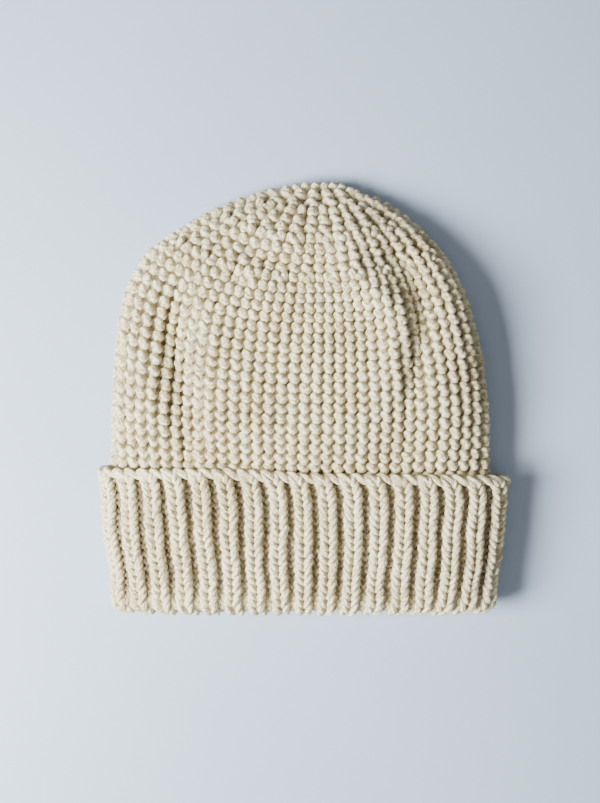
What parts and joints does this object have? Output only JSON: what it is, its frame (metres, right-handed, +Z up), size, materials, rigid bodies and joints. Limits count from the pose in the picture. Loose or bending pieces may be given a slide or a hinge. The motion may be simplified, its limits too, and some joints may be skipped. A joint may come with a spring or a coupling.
{
  "type": "knit beanie",
  "caption": "Hand-knitted wool beanie laid flat, with a rounded bobbled crown and a deep ribbed brim turned up over an inner band.",
  "frame": {"origin": "centre of the hat's outline, on the surface it lies on", "axes": "+Z up from that surface, +Y from the brim's fold to the crown's top, +X to the wearer's side"},
  "size_m": [0.2156, 0.225, 0.0382],
  "materials": {
    "crown_knit": "matt undyed wool, purl side out",
    "rib_knit": "matt undyed wool ribbing"
  },
  "bodies": {
    "hat": {"crown": "crown_knit", "closing_yarn": "crown_knit", "crown_yarn_tail": "crown_knit", "inner_band": "rib_knit"},
    "cuff": {"turn_up": "rib_knit", "cuff_fold": "rib_knit", "cast_on_edge": "rib_knit", "cast_on_yarn_tail": "rib_knit"}
  },
  "joints": [
    {"name": "cuff_pull_down", "type": "slide", "parent": "hat", "child": "cuff", "axis": [0, -1, 0], "range_m": [0, 0.02]}
  ]
}
